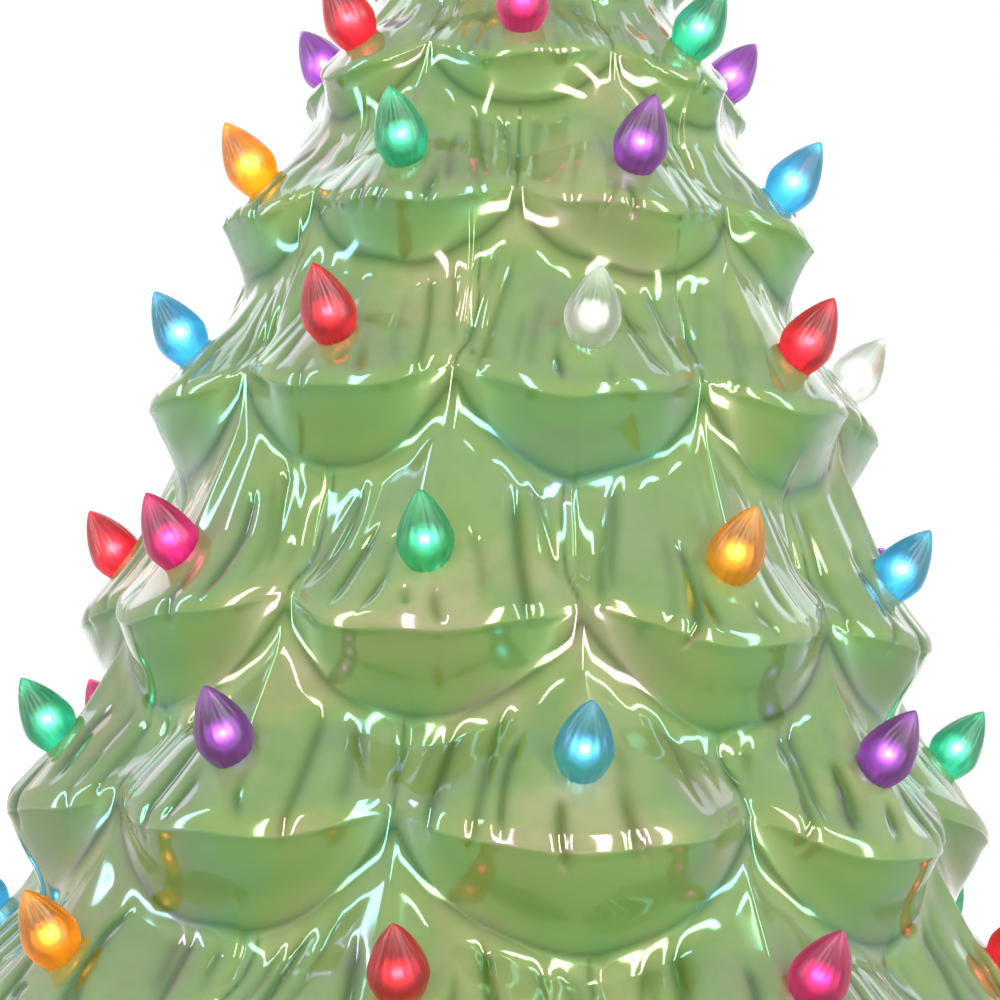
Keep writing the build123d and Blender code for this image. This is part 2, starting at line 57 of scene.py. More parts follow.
# %% A mesh from grids of points
def grid_mesh(name, points, ring=False, corner_normals=None, values=None):
    """A mesh of one or more grids, shaped (copies, rows, columns, 3), that close round their columns.
    Each quad joins point (i, j) to (i, j+1), (i+1, j+1) and (i+1, j). With ring, the last row joins the
    first; without it, the end rows get flat faces. The values are numbers for each point."""
    copies, rows, columns, _ = points.shape
    index = np.arange(copies * rows * columns).reshape(copies, rows, columns)
    after = np.roll(index, -1, axis=2)
    low, high = (index, np.roll(index, -1, axis=1)) if ring else (index[:, :-1], index[:, 1:])
    low_next, high_next = (after, np.roll(after, -1, axis=1)) if ring else (after[:, :-1], after[:, 1:])
    faces = np.stack([low, low_next, high_next, high], axis=-1).reshape(-1, 4).tolist()
    if not ring:
        faces += index[:, 0, ::-1].tolist() + index[:, -1, :].tolist()
    mesh = bpy.data.meshes.new(name)
    mesh.from_pydata(points.reshape(-1, 3).tolist(), [], faces)
    mesh.polygons.foreach_set("use_smooth", np.ones(len(faces), dtype=bool))
    for value_name, numbers in (values or {}).items():
        mesh.attributes.new(value_name, "FLOAT", "POINT").data.foreach_set(
            "value", np.ascontiguousarray(numbers, dtype=np.float32).ravel()
        )
    if corner_normals is not None:
        mesh.normals_split_custom_set(corner_normals.reshape(-1, 3).tolist())
    return mesh


def add_piece(mesh, body, finish, slot, *stands_for):
    """Puts a mesh in the scene as a piece that rides on a CAD body and stands for CAD nodes."""
    piece = bpy.data.objects.new(mesh.name, mesh)
    bpy.context.scene.collection.objects.link(piece)
    piece.data.materials.append(finish)
    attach(piece, body)
    if stands_for:
        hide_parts(*stands_for)
    print(mesh.name, "has", len(mesh.polygons), "faces")
    return piece


# %% [markdown]
# ## Colours and shader nodes
# Colours are written as the sRGB hex values that a colour picker shows, and Blender's shaders want linear
# light, so one function converts them. A second small function adds any shader node with its settings,
# and links a socket where it is given another node's output. The last two link nodes to the shader that
# Blender gives a new material, and start such a material.


# %% Helpers for materials
def linear(code):
    """Linear red, green, blue and alpha of an sRGB hex colour, by the sRGB curve."""
    share = np.array([int(code[i : i + 2], 16) for i in (1, 3, 5)]) / 255
    light = np.where(share <= 0.04045, share / 12.92, ((share + 0.055) / 1.055) ** 2.4)
    return (*light.tolist(), 1.0)


def add(tree, kind, sockets=None, **settings):
    """Adds a shader node. A socket is given a value, or a node and the name of its output to link."""
    made = tree.nodes.new("ShaderNode" + kind)
    for name, value in settings.items():
        setattr(made, name, value)
    for socket, value in (sockets or {}).items():
        if isinstance(value, tuple) and isinstance(value[0], bpy.types.Node):
            tree.links.new(value[0].outputs[value[1]], made.inputs[socket])
        else:
            made.inputs[socket].default_value = value
    return made


def feed(shader, **sources):
    """Links outputs of nodes to a shader's sockets, by name."""
    for socket, (source, output) in sources.items():
        shader.id_data.links.new(source.outputs[output], shader.inputs[socket.replace("_", " ")])


def new_finish(name, **constants):
    """A material with a Principled shader, whose constant sockets are set by name."""
    finish = bpy.data.materials.new(name)
    finish.use_nodes = True
    tree = finish.node_tree
    shader = tree.nodes["Principled BSDF"]
    for socket, value in constants.items():
        shader.inputs[socket.replace("_", " ")].default_value = value
    return finish, tree, shader, add(tree, "TexCoord")


print("half of sRGB's range is", round(linear("#808080")[0], 3), "in linear light")

# %% [markdown]
# ## The rings of branches
# Each ring is a row of branches that lean outwards like roof tiles. In the CAD a branch is a cone with a
# rolled lip and a rounded underside, turned about an axis that tips forward. The same sizes are repeated
# here, because the glazed surface has to lie on that solid.

# %% Sizes of the rings, as in the CAD
RINGS = [
    (9, 146, 20, -8.5, "red pink red green purple clear green blue orange"),
    (9, 129, 70, 8.6, "blue purple green orange red clear pink green purple"),
    (9, 113, 117.5, -10.3, "green orange blue purple green pink clear red pink"),
    (9, 98, 174, -29, "red clear red clear orange purple green pink blue"),
    (8, 81, 221, -23, "green purple blue pink clear red purple orange"),
    (7, 61, 261, -1.4, "pink green purple orange blue purple red"),
    (6, 42, 293, 25, "blue red green clear purple orange"),
    (5, 24, 319, 0, "red clear blue pink green"),
]
TREE_Z, TIP_Z = 34 * MM, 379 * MM
NECK_RADIUS, TIP_RADIUS = 118 * MM, 8 * MM
TILT, CAP = math.radians(21), math.radians(62)
LIP_SHARE, UNDERSIDE_SHARE, CORE_SHARE, SEAT_SHARE = 0.13, 1.48, 0.82, 0.4
BRANCH_OVERLAP = 1.42
FULL_REACH = 37 * MM  # reach of the large branches, for which the finer sizes below are given


def branch_sizes(ring):
    """A branch's reach, and the distance and height of the middle of its lip circle. With k the overlap
    times sin(pi / count), the reach is the ring's radius times k / (1 + k), so that neighbours overlap."""
    overlap = BRANCH_OVERLAP * math.sin(math.pi / ring[0])
    reach = ring[1] * MM * overlap / (1 + overlap)
    return reach, ring[1] * MM - reach * math.cos(TILT), TREE_Z + ring[2] * MM + reach * math.sin(TILT)


def branch_outline(h, reach):
    """Radius of a branch at height h on its axis: a cone above, then arcs for the lip and the underside."""
    lip, under = LIP_SHARE * reach, UNDERSIDE_SHARE * reach
    apex = lip * math.sin(CAP) + (reach - lip + lip * math.cos(CAP)) / math.tan(CAP)
    cone = (apex - h) * math.tan(CAP)
    nose = reach - lip + np.sqrt(np.clip(lip**2 - h**2, 0, None))
    belly = reach - under + np.sqrt(np.clip(under**2 - h**2, 0, None))
    return np.where(h > lip * math.sin(CAP), cone, np.where(h > 0, nose, belly))


def seat_place(ring):
    """Distance from the axis and height of the point on the cap where a bulb stands: up the cone from the
    lip by a share of the reach, then tipped forward by the tilt."""
    reach, out, up = branch_sizes(ring)
    lip = LIP_SHARE * reach
    along = reach - lip + lip * math.cos(CAP) - SEAT_SHARE * reach * math.sin(CAP)
    above = lip * math.sin(CAP) + SEAT_SHARE * reach * math.cos(CAP)
    return (
        out + along * math.cos(TILT) + above * math.sin(TILT),
        up - along * math.sin(TILT) + above * math.cos(TILT),
    )


print("reach of a branch in each ring, mm:", [round(branch_sizes(ring)[0] / MM, 1) for ring in RINGS])

# %% [markdown]
# ## The glazed surface as a height field
# Seen from the tree's axis, no branch hides another part of the surface at the same height, so the whole
# tree is one function: how far out the surface is, for each direction and each height. A level ray is
# followed outwards until it leaves the branch, by halving the step. Where two branches or two rings meet,
# a soft maximum fills the corner, as thick glaze does. A boolean union of solids would give hard corners.


# %% Where a level ray leaves a branch
FAR_OUT = 170 * MM  # farther out than any branch
HALVINGS = 24


def soft_max(a, b, width):
    """The larger of two, plus (width - gap)^2 / (4 width) where the gap is less than the width."""
    near = np.clip(width - np.abs(a - b), 0, None)
    return np.maximum(a, b) + near**2 / (4 * width), near / width


def smooth_step(low, high, x):
    """Runs from 0 to 1 as x goes from low to high, level at both ends: 3t^2 - 2t^3."""
    t = np.clip((x - low) / (high - low), 0, 1)
    return t * t * (3 - 2 * t)


def branch_front(turned, z, reach, out, up):
    """Distance out of a branch's surface, for rays turned from its middle, at heights z. A point is outside
    by its distance from the branch's axis less the outline at its height on that axis. A ray that misses
    gets its nearest point, drawn back by twice the miss, so that the surface has no step there."""

    def outside_by(r):
        p, q = r * np.cos(turned) - out, z - up
        along, h = p * math.cos(TILT) - q * math.sin(TILT), p * math.sin(TILT) + q * math.cos(TILT)
        return np.hypot(along, r * np.sin(turned)) - branch_outline(h, reach)

    nearest = (out + (z - up) * math.tan(TILT)) * np.cos(turned)
    missed = np.clip(outside_by(nearest), 0, None)
    near, far = nearest, np.full_like(nearest, FAR_OUT)
    for _ in range(HALVINGS):
        middle = (near + far) / 2
        kept = outside_by(middle) < 0
        near, far = np.where(kept, middle, near), np.where(kept, far, middle)
    return np.where(missed > 0, nearest - 2 * missed, near)


lowest_reach, lowest_out, lowest_up = branch_sizes(RINGS[0])
lip_height = np.array([lowest_up - lowest_reach * math.sin(TILT)])
front = branch_front(np.zeros(1), lip_height, lowest_reach, lowest_out, lowest_up)
print("a level ray leaves the lip of the lowest ring", round(front[0] / MM, 2), "mm out")

# %% [markdown]
# ## Needle grooves
# The mould-maker pressed soft strokes into every branch: they start under the ring above, fan out and run
# down to the lip, and some nick it. Each stroke is a curve in the branch's own coordinates, across it from
# -1 to 1 and up from its lip, with a rounded trough. A bump texture would be lighter, but grooves in the
# mesh also show at the edge of the tree and are part of its shape. The strokes are drawn at random
# with a fixed seed, so no two branches are alike and every run gives the same tree.


# %% Depth of the strokes on a branch
STROKE_ENDS = np.array([-0.93, -0.8, -0.6, -0.38, -0.14, 0.2, 0.42, 0.66, 0.82, 0.95])
NICK_SHARE, NICK_END = 0.4, -4  # share of the strokes that nick the lip, and how far up they end, in mm
FINE_SHARE, WIDE_SHARE, WIDER = 0.6, 0.4, 2.6  # shares of the two troughs, and how much wider one is
STROKE_FILLET = 0.3 * MM


def stroke_sizes(count, draw):
    """Random sizes of the strokes of every branch in a ring, each shaped (strokes, branches)."""
    shape = (len(STROKE_ENDS), count)
    ends = STROKE_ENDS[:, None] + draw.uniform(-0.08, 0.08, shape)
    flank = np.abs(ends)
    nick = draw.uniform(0, 1, shape) < NICK_SHARE
    return {
        "end": ends,
        "start": ends * draw.uniform(0.62, 0.85, shape) + draw.uniform(-0.04, 0.04, shape),
        "top": (9 + 30 * flank + draw.uniform(0, 12, shape)) * MM,
        "bottom": np.where(nick, NICK_END, draw.uniform(0.5, 7, shape)) * MM,
        "bend": draw.uniform(-0.09, 0.09, shape),
        "depth": draw.uniform(0.8, 1.7, shape) * (1 - 0.4 * flank) * MM,
        "width": draw.uniform(1.1, 1.9, shape) * MM,
    }


def groove_depth(across, rise, branch, sizes, reach):
    """The deepest stroke at each point: its depth times a fine trough in a wider one, both exp(-(distance
    across / width)^2), drawn thin and faded at its ends."""
    scale = reach / FULL_REACH
    deepest = np.zeros_like(across)
    for stroke in range(len(STROKE_ENDS)):
        here = {name: rows[stroke][branch] for name, rows in sizes.items()}
        t = (here["top"] * scale - rise) / ((here["top"] - here["bottom"]) * scale)
        s = np.clip(t, 0, 1)
        path = here["start"] + (here["end"] - here["start"]) * s**1.3 + here["bend"] * np.sin(np.pi * s)
        gap = (across - path) * reach * 0.9
        fade = smooth_step(0, 0.3, t) * (1 - smooth_step(0.78, 1.1, t))
        taper = 0.5 + 0.5 * np.sin(np.pi * np.clip(t, 0, 1)) ** 0.7
        off = gap / (here["width"] * scale**0.5 * taper)
        trough = FINE_SHARE * np.exp(-(off**2)) + WIDE_SHARE * np.exp(-((off / WIDER) ** 2))
        deepest = soft_max(deepest, here["depth"] * scale**0.7 * fade * trough, STROKE_FILLET)[0]
    return deepest


print(len(STROKE_ENDS), "strokes on a branch,", len(STROKE_ENDS) * sum(ring[0] for ring in RINGS), "in all")

# %% [markdown]
# ## One ring, then the whole tree
# Above its lips a ring is one draped skirt that runs up under the ring above, so each direction also gets
# a straight slope from its lip to there, and the branch's own form swells out of it. Under the ring above,
# the skirt's end follows a parabola, which leaves a rounded pouch under every branch. A hand-finished ring
# isn't regular: branches sit a little higher or lower, lips wave, and folds run between the strokes. These
# small changes fade out round each bulb so that the bulb still sits on its seat.

# %% Lips and skirt ends in every direction
COLUMNS, LEVELS = 900, 600
POUCH_SHARE = 0.2  # how far a pouch runs in under its branch, of the ring's radius
LIP_COVER = 1 * MM  # how far a skirt's end stays behind the lip above it
angles = np.linspace(0, 2 * np.pi, COLUMNS, endpoint=False)
heights = np.linspace(TREE_Z, TIP_Z, LEVELS)


def lip_curve(ring, turned):
    """Distance out and height of a branch's lip circle in each direction, read off points round it."""
    reach, out, up = branch_sizes(ring)
    round_lip = np.linspace(0, 1.45, 200)
    ahead, aside = out + reach * np.cos(round_lip) * math.cos(TILT), reach * np.sin(round_lip)
    turn, height = np.arctan2(aside, ahead), up - reach * np.cos(round_lip) * math.sin(TILT)
    last = np.argmax(turn) + 1
    far = np.hypot(ahead, aside)
    return tuple(np.interp(np.abs(turned), turn[:last], line[:last]) for line in (far, height))


def rounded(line, count):
    """A closed line of values without sharp corners: the mean over a third of a branch to either side."""
    width = COLUMNS // count // 3
    return np.mean([np.roll(line, shift) for shift in range(-width, width + 1)], axis=0)


def nearest_branch(ring):
    """Number of the branch that each direction is nearest to, and the turn from that branch's middle."""
    step, first = 2 * math.pi / ring[0], math.radians(ring[3] - 90)
    number = np.round((angles - first) / step).astype(int)
    return number, angles - first - number * step


def skirt_end(ring):
    """Where the skirt under a ring ends in each direction, out and up. Under the middle of a branch it runs
    in by a share of the ring's radius, and between two branches it meets the lip, along a parabola."""
    turned = nearest_branch(ring)[1]
    lip_out, lip_up = lip_curve(ring, turned)
    across = turned / (math.pi / ring[0])
    return lip_out - LIP_COVER - POUCH_SHARE * ring[1] * MM * (1 - across**2), lip_up


skirt_ends = [skirt_end(ring) for ring in RINGS[1:]] + [(TIP_RADIUS, TIP_Z)]
print(COLUMNS, "directions by", LEVELS, "heights, and", len(skirt_ends), "skirts")

# %% One ring of branches
SIDE_FILLET, SKIRT_FILLET = 4 * MM, 5 * MM
CAP_SINK = 0.26  # how far the top of a branch sinks into the skirt, of its reach
SEAT_ROOM = 9 * MM  # round each bulb, where the surface stays as in the CAD
LIFT, STRETCH = 0.8, 0.02  # how far branches sit high or low, in mm, and how much their reaches differ
LONG_WAVE, SHORT_WAVE = 0.8, 0.5  # heights of the lips' waves, in mm
VALLEY, NOTCH = 1.5, 4  # how far the skirt lies back, and more between two lips, in mm
FAN_HEIGHT = 26 * MM  # over which the folds spread out
FOLD_HEIGHT = 0.3 * MM
draw = np.random.default_rng(12)


def ring_front(ring, above, z):
    """Distance out of a ring of branches at heights z: the soft maximum of the nearest branch, the branch
    beside it and the skirt, whose far end, out and up, is above. Also the height of the folds, a sum of two
    cosines that fan out, the depth of the strokes, and how far into a corner between two branches each
    point is."""
    count, step = ring[0], 2 * math.pi / ring[0]
    reach, out, up = branch_sizes(ring)
    seat_out, seat_up = seat_place(ring)
    low, apex = up - reach * math.sin(TILT), up + 0.6 * reach * math.cos(TILT)
    sizes = stroke_sizes(count, draw)
    lift = draw.uniform(-LIFT, LIFT, count) * MM
    stretch = draw.uniform(-STRETCH, STRETCH, count)
    waves = draw.uniform(0, 2 * math.pi, (4, count))
    nearest, turned = nearest_branch(ring)
    side = np.where(turned < 0, -1, 1)

    def one(branch, turned):
        branch = np.broadcast_to(branch % count, (len(z), COLUMNS))
        across = np.broadcast_to(turned / (step / 2), branch.shape)
        wave = LONG_WAVE * np.sin(3.5 * across + waves[0][branch])
        wave = wave + SHORT_WAVE * np.sin(8 * across + waves[1][branch])
        free = 1 - np.exp(-((np.hypot(turned * seat_out, 1.2 * (z - seat_up)) / SEAT_ROOM) ** 4))
        moved = z + (lift[branch] + wave * MM) * free
        r = branch_front(turned, moved, reach * (1 + stretch[branch] * free), out, up)
        r = r - CAP_SINK * reach * smooth_step(0.5, 1, (moved - low) / (apex - low))
        return r, across, free, moved, branch

    r, across, free, moved, branch = one(nearest, turned)
    beside = one(nearest + side, turned - side * step)[0]
    r, crease = soft_max(r, beside, SIDE_FILLET)
    lip_out, lip_up = lip_curve(ring, turned)
    rise = moved - lip_up
    share = np.clip(rise / (above[1] - lip_up), 0, 1)
    valley = (VALLEY + NOTCH * across**6 * (1 - share) ** 2) * MM * min(1, reach / FULL_REACH)
    ease = smooth_step(0, 0.7, share)
    start_out, start_up = (line + (rounded(line, count) - line) * ease for line in (lip_out, lip_up))
    slope = (above[0] - start_out) / (above[1] - start_up)
    skirt = np.where(rise > 0, start_out + (moved - start_up) * slope, lip_out + 1.6 * rise) - valley
    skirt = skirt - 1.5 * np.clip(moved - above[1], 0, None)
    r = soft_max(r, skirt, SKIRT_FILLET)[0]
    fan = across / (0.55 + 0.45 * np.exp(-np.clip(rise, 0, None) / FAN_HEIGHT))
    edge = 1 - smooth_step(0.88, 1.0, np.abs(across))
    folds = np.cos(9 * fan + waves[2][branch]) + 0.6 * np.cos(17 * fan + waves[3][branch])
    folds = FOLD_HEIGHT * folds * edge * free * smooth_step(-1 * MM, 12 * MM, rise)
    groove = groove_depth(across, rise, branch, sizes, reach) * free * edge
    return r, folds, groove, crease * smooth_step(-6 * MM, 0, rise)


# %% All rings, one over the other
RING_FILLET = 12 * MM
CORE_INSET = 12 * MM  # how far the plain core lies behind the CAD's, so that it never shows
core_heights = [TREE_Z] + [TREE_Z + ring[2] * MM for ring in RINGS] + [TIP_Z]
core_radii = [NECK_RADIUS] + [CORE_SHARE * ring[1] * MM for ring in RINGS] + [TIP_RADIUS]
core = np.interp(heights, core_heights, core_radii)
surface = np.repeat(core[:, None] - CORE_INSET, COLUMNS, axis=1)
grooves, ridges, creases = (np.zeros_like(surface) for _ in range(3))
for ring, above in zip(RINGS, skirt_ends):
    reach, out, up = branch_sizes(ring)
    rows = np.flatnonzero((heights > up - 1.35 * reach) & (heights < np.max(above[1]) + 0.3 * reach))
    r, folds, groove, crease = ring_front(ring, above, heights[rows, None])
    in_front = smooth_step(-2 * MM, 4 * MM, r - surface[rows])
    surface[rows], meeting = soft_max(surface[rows], r, RING_FILLET)
    calm = (1 - meeting) ** 2
    grooves[rows] = (grooves[rows] * (1 - in_front) + groove * in_front) * calm
    ridges[rows] = (ridges[rows] * (1 - in_front) + folds * in_front) * calm
    creases[rows] = np.maximum(np.maximum(meeting, creases[rows] * (1 - in_front)), crease * in_front)
surface += ridges - grooves
print("surface from", surface.min() / MM, "to", surface.max() / MM, "mm out")

# %% [markdown]
# ## From the height field to closed pieces
# The field has far more points than one piece should have, so it is cut level into eight rings of wall.
# Each is closed by its own inner wall, about as thick as the casting. Their outer normals come from the
# whole field, so the glaze runs across the joins without a line.

# %% The glaze's own normals and the wall
WALL = 6 * MM  # measured level, which is about 4.5 mm square to the sloping wall
SOCKET_RADIUS = 3.2 * MM  # of the star's socket at the tip


def turned_points(r, z):
    """Points at distance r and height z in every direction."""
    return np.stack([r * np.cos(angles), r * np.sin(angles), np.broadcast_to(z, r.shape)], axis=-1)


def outward(points):
    """Unit normals of a grid: the step round crossed with the step up."""
    round_step = np.roll(points, -1, axis=1) - np.roll(points, 1, axis=1)
    normal = np.cross(round_step, np.gradient(points, axis=0))
    return normal / np.linalg.norm(normal, axis=-1, keepdims=True)


outside = turned_points(surface, heights[:, None])
outside_normals = outward(outside)
inside = turned_points(np.maximum(surface + grooves - WALL, SOCKET_RADIUS), heights[:, None])
inside_normals = -outward(inside)
print("steepest overhang of the glaze:", round(float(outside_normals[..., 2].min()), 2))

# %% [markdown]
# ## Pearl lustre glaze
# The tree is earthenware under a clear green glaze with a thin fired-on lustre. The glaze is pale where it
# runs thin over high places and dark where it pools in the strokes, so its colour follows the groove value
# kept on each point. The corner value darkens each crease with pooled glaze and painted shade, and the
# undersides get a darker painted shade from the height of the normal kept on each point. The lustre is a
# film a few hundred nanometres thick, which tints the reflections pink, gold and blue, as oil does on
# water. Inside, the wall is bare bisque.


# %% Lustre glaze and bisque
GLAZE = {
    "thin": linear("#84995A"),  # over high places
    "warm": linear("#A2A678"),  # soft beige clouds
    "deep": linear("#6F8746"),  # fine mottle
    "under": linear("#6A8944"),  # painted shade on the downward-facing undersides
    "stroke": linear("#4E6424"),  # pooled in the strokes
    "corner": linear("#385A1C"),  # pooled glaze and painted shade in the corners
    "bisque": linear("#E4DACA"),  # bare clay inside
}


def lustre_glaze(name, follows_points):
    """Glossy pale green glaze under a thin film. The eye sees crisp lights with pastel edges."""
    finish, tree, shader, place = new_finish(name, IOR=1.5, Thin_Film_IOR=1.65)
    clouds = {"Vector": (place, "Object"), "Scale": 1 / (38 * MM), "Detail": 3.0, "Roughness": 0.5}
    mottling = {"Vector": (place, "Object"), "Scale": 1 / (9 * MM), "Detail": 4.0, "Roughness": 0.55}
    cloud, mottle = add(tree, "TexNoise", clouds), add(tree, "TexNoise", mottling)
    warm = add(tree, "MapRange", {"Value": (cloud, "Fac"), "From Min": 0.5, "From Max": 0.72})
    mottled = {"Value": (mottle, "Fac"), "From Min": 0.42, "From Max": 0.75, "To Max": 0.4}
    deep = add(tree, "MapRange", mottled)
    film = add(tree, "MapRange", {"Value": (cloud, "Fac"), "To Min": 280.0, "To Max": 560.0})
    layers = [((warm, "Result"), "warm"), ((deep, "Result"), "deep")]
    if follows_points:
        # Painted shade: faces that turn downwards take the darker under tone
        lifted = add(tree, "Attribute", attribute_name="lifted")
        below = add(tree, "MapRange", {"Value": (lifted, "Fac"), "From Min": 0.1, "From Max": -0.3})
        layers.append(((below, "Result"), "under"))
        # The groove value adds pooled glaze, and the corner value adds pooled glaze and painted shade along
        # the creases
        for value, tone in (("groove", "stroke"), ("corner", "corner"), ("bare", "bisque")):
            kept_value = add(tree, "Attribute", attribute_name=value)
            layers.append(((kept_value, "Fac"), tone))
        dull = add(tree, "MapRange", {"Value": (kept_value, "Fac"), "To Min": 0.1, "To Max": 0.85})
    else:
        dull = add(tree, "MapRange", {"Value": (mottle, "Fac"), "To Min": 0.07, "To Max": 0.12})
    body = GLAZE["thin"]
    for share, tone in layers:
        body = (add(tree, "MixRGB", {"Fac": share, "Color1": body, "Color2": GLAZE[tone]}), "Color")
    feed(shader, Base_Color=body, Roughness=(dull, "Result"), Thin_Film_Thickness=(film, "Result"))
    return finish


tree_glaze = lustre_glaze("lustre_glaze_on_earthenware", True)
base_glaze = lustre_glaze("lustre_glaze_on_foot", False)
print("glazes:", tree_glaze.name, "and", base_glaze.name)

# %% Eight rings of wall
PIECES, INNER_STEP = 8, 8
FULL_GROOVE = 1.2 * MM  # depth at which a stroke has its full colour
cuts = np.linspace(0, LEVELS - 1, PIECES + 1).astype(int)
for number, (low, high) in enumerate(zip(cuts[:-1], cuts[1:]), start=1):
    inner_rows = np.unique(np.append(np.arange(low, high, INNER_STEP), high))[::-1]
    outer_rows = np.arange(low, high + 1)
    points = np.concatenate([outside[outer_rows], inside[inner_rows]])
    normals = np.concatenate([outside_normals[outer_rows], inside_normals[inner_rows]])
    blank = np.zeros((len(inner_rows), COLUMNS))
    values = {
        "groove": np.concatenate([np.clip(grooves[outer_rows] / FULL_GROOVE, 0, 1) ** 1.5, blank]),
        # Pooled glaze and painted shade: a dark line along the creases where branches and rings meet
        "corner": np.concatenate([0.95 * creases[outer_rows] ** 4, blank]),
        # Height of the normal, which paints shade on the downward-facing undersides
        "lifted": np.concatenate([outside_normals[outer_rows, :, 2], blank]),
        "bare": np.concatenate([np.zeros((len(outer_rows), COLUMNS)), blank + 1]),
    }
    above = np.roll(normals, -1, axis=0)
    corners = np.stack([normals, np.roll(normals, -1, axis=1), np.roll(above, -1, axis=1), above], axis=2)
    corners[len(outer_rows) - 1] = (0, 0, 1)
    corners[-1] = (0, 0, -1)
    wall = grid_mesh(f"tree_wall_{number}", points[None], True, corners, values)
    add_piece(wall, "tree", tree_glaze, "tree_glaze", "tree_shell")

# %% [markdown]
# ## Fluted bulbs
# Each bulb is a clear coloured plastic drop with sixteen fine flutes, on a peg that carries light through
# the wall. Its profile is a curve from the peg's end to the tip, carried round the axis, and the flutes
# are a ripple of the radius. All bulbs of a colour make one piece.

# %% The bulbs' shape and places
BULB_LENGTH, BULB_RADIUS, WIDEST, BASE_RADIUS = 20 * MM, 6.7 * MM, 6.6 * MM, 4.2 * MM
STEM_RADIUS, STEM_LENGTH, SINK = 2.3 * MM, 11 * MM, 1.3 * MM
FLUTES, BULB_COLUMNS, BULB_ROWS = 16, 96, 26
GLOW_HEIGHT, GLOW_RADII = 7.5 * MM, np.array([0.6, 1.1, 1.8, 2.8]) * MM
GLOW_LEVELS = np.array([45, 14, 4, 1.2])
LEAN = math.radians(55)


def bulb_grid():
    """Points of one bulb on its own axis: radius 6.7 - 2.5 t^1.6 below the widest place and
    6.7 (1 - t^1.5)^0.8 above it, drawn in by the flutes with (1 + cos)^2, and a straight peg underneath."""
    h = BULB_LENGTH * (1 - np.linspace(1, 0, BULB_ROWS) ** 1.15) * 0.9995
    below, above = np.clip(1 - h / WIDEST, 0, 1), np.clip((h - WIDEST) / (BULB_LENGTH - WIDEST), 0, 1)
    r = (BULB_RADIUS - (BULB_RADIUS - BASE_RADIUS) * below**1.6) * (1 - above**1.5) ** 0.8
    turn = np.linspace(0, 2 * np.pi, BULB_COLUMNS, endpoint=False)
    flute = 0.05 * (0.5 + 0.5 * np.cos(FLUTES * turn)) ** 2
    cut = (0.1 + 0.9 * np.clip(np.abs(h / GLOW_HEIGHT - 1), 0, 1))[:, None]
    skin = r[:, None] * (1 - flute * cut * (1 - above[:, None] ** 4))
    peg = np.full((3, BULB_COLUMNS), STEM_RADIUS)
    radius = np.concatenate([peg * np.array([[0.8], [1], [1]]), skin])
    height = np.concatenate([[-STEM_LENGTH, -STEM_LENGTH + 0.5 * MM, 0], h])
    height = np.broadcast_to(height[:, None], radius.shape)
    return np.stack([radius * np.cos(turn), radius * np.sin(turn), height], axis=-1)


def bulb_frames(colour):
    """Places and axes of the bulbs of a colour: out of the tree's axis, round it, and up the bulb."""
    places, axes = [], []
    for ring in RINGS:
        out, up = seat_place(ring)
        for index, name in enumerate(ring[4].split()):
            if name == colour:
                turn = math.radians(ring[3] - 90 + 360 / ring[0] * index)
                away = np.array([math.cos(turn), math.sin(turn), 0])
                axis = away * math.cos(LEAN) + np.array([0, 0, math.sin(LEAN)])
                across = np.array([-math.sin(turn), math.cos(turn), 0])
                places.append(away * out + np.array([0, 0, up]) - axis * SINK)
                axes.append([across, np.cross(axis, across), axis])
    return np.array(places), np.array(axes)


def glow_grids():
    """Closed drops in each other on the bulb's axis, (r, h) = (sin, 1.2 cos) times each drop's radius."""
    t = np.linspace(0.03, 0.97, 9)[::-1] * np.pi
    turn = np.linspace(0, 2 * np.pi, 14, endpoint=False)
    r, h = np.sin(t)[:, None] * np.ones_like(turn), 1.2 * np.cos(t)[:, None] * np.ones_like(turn)
    drop = np.stack([r * np.cos(turn), r * np.sin(turn), h], axis=-1)
    return GLOW_RADII[:, None, None, None] * drop + np.array([0, 0, GLOW_HEIGHT])


print("a bulb and its peg are", round((BULB_LENGTH + STEM_LENGTH) / MM, 1), "mm long")

# %% [markdown]
# ## Tinted acrylic
# The bulbs are moulded acrylic: clear, dyed right through, and lit by the lamp inside the tree. A fully
# transmissive shader with acrylic's IOR bends the green tree behind each bulb, and a little light of its
# own stands for what the dye scatters. Inside, the light that spreads from the pipe's end is four thin
# drops in each other, brightest in the middle. A line of sight through the middle crosses all of them, so
# the glow fades outwards.


# %% The bulbs and the light in them
def lit_plastic(name, tint, rough, grain, through, glow):
    """Dyed plastic with light in it. The eye sees an even tint, a little cloudy, that glows. Noise of the
    grain's size in mm clouds the dye and sets the roughness between two values."""
    finish, tree, shader, place = new_finish(
        name, IOR=1.49, Transmission_Weight=through, Emission_Color=linear(tint), Emission_Strength=glow
    )
    noise = add(tree, "TexNoise", {"Vector": (place, "Object"), "Scale": 1 / (grain * MM), "Detail": 2.0})
    frost = add(tree, "MapRange", {"Value": (noise, "Fac"), "To Min": rough[0], "To Max": rough[1]})
    cloudy = tuple(0.85 * light for light in linear(tint)[:3]) + (1.0,)
    dye = add(tree, "MixRGB", {"Fac": (noise, "Fac"), "Color1": linear(tint), "Color2": cloudy})
    feed(shader, Base_Color=(dye, "Color"), Roughness=(frost, "Result"))
    return finish


def on_tree(grid, places, axes):
    """Copies of grids, shaped (grids, rows, columns, 3), turned to each place's axes and moved there."""
    points = np.einsum("sijk,bkl->bsijl", grid, axes) + places[:, None, None, None]
    return points.reshape(-1, *grid.shape[1:])


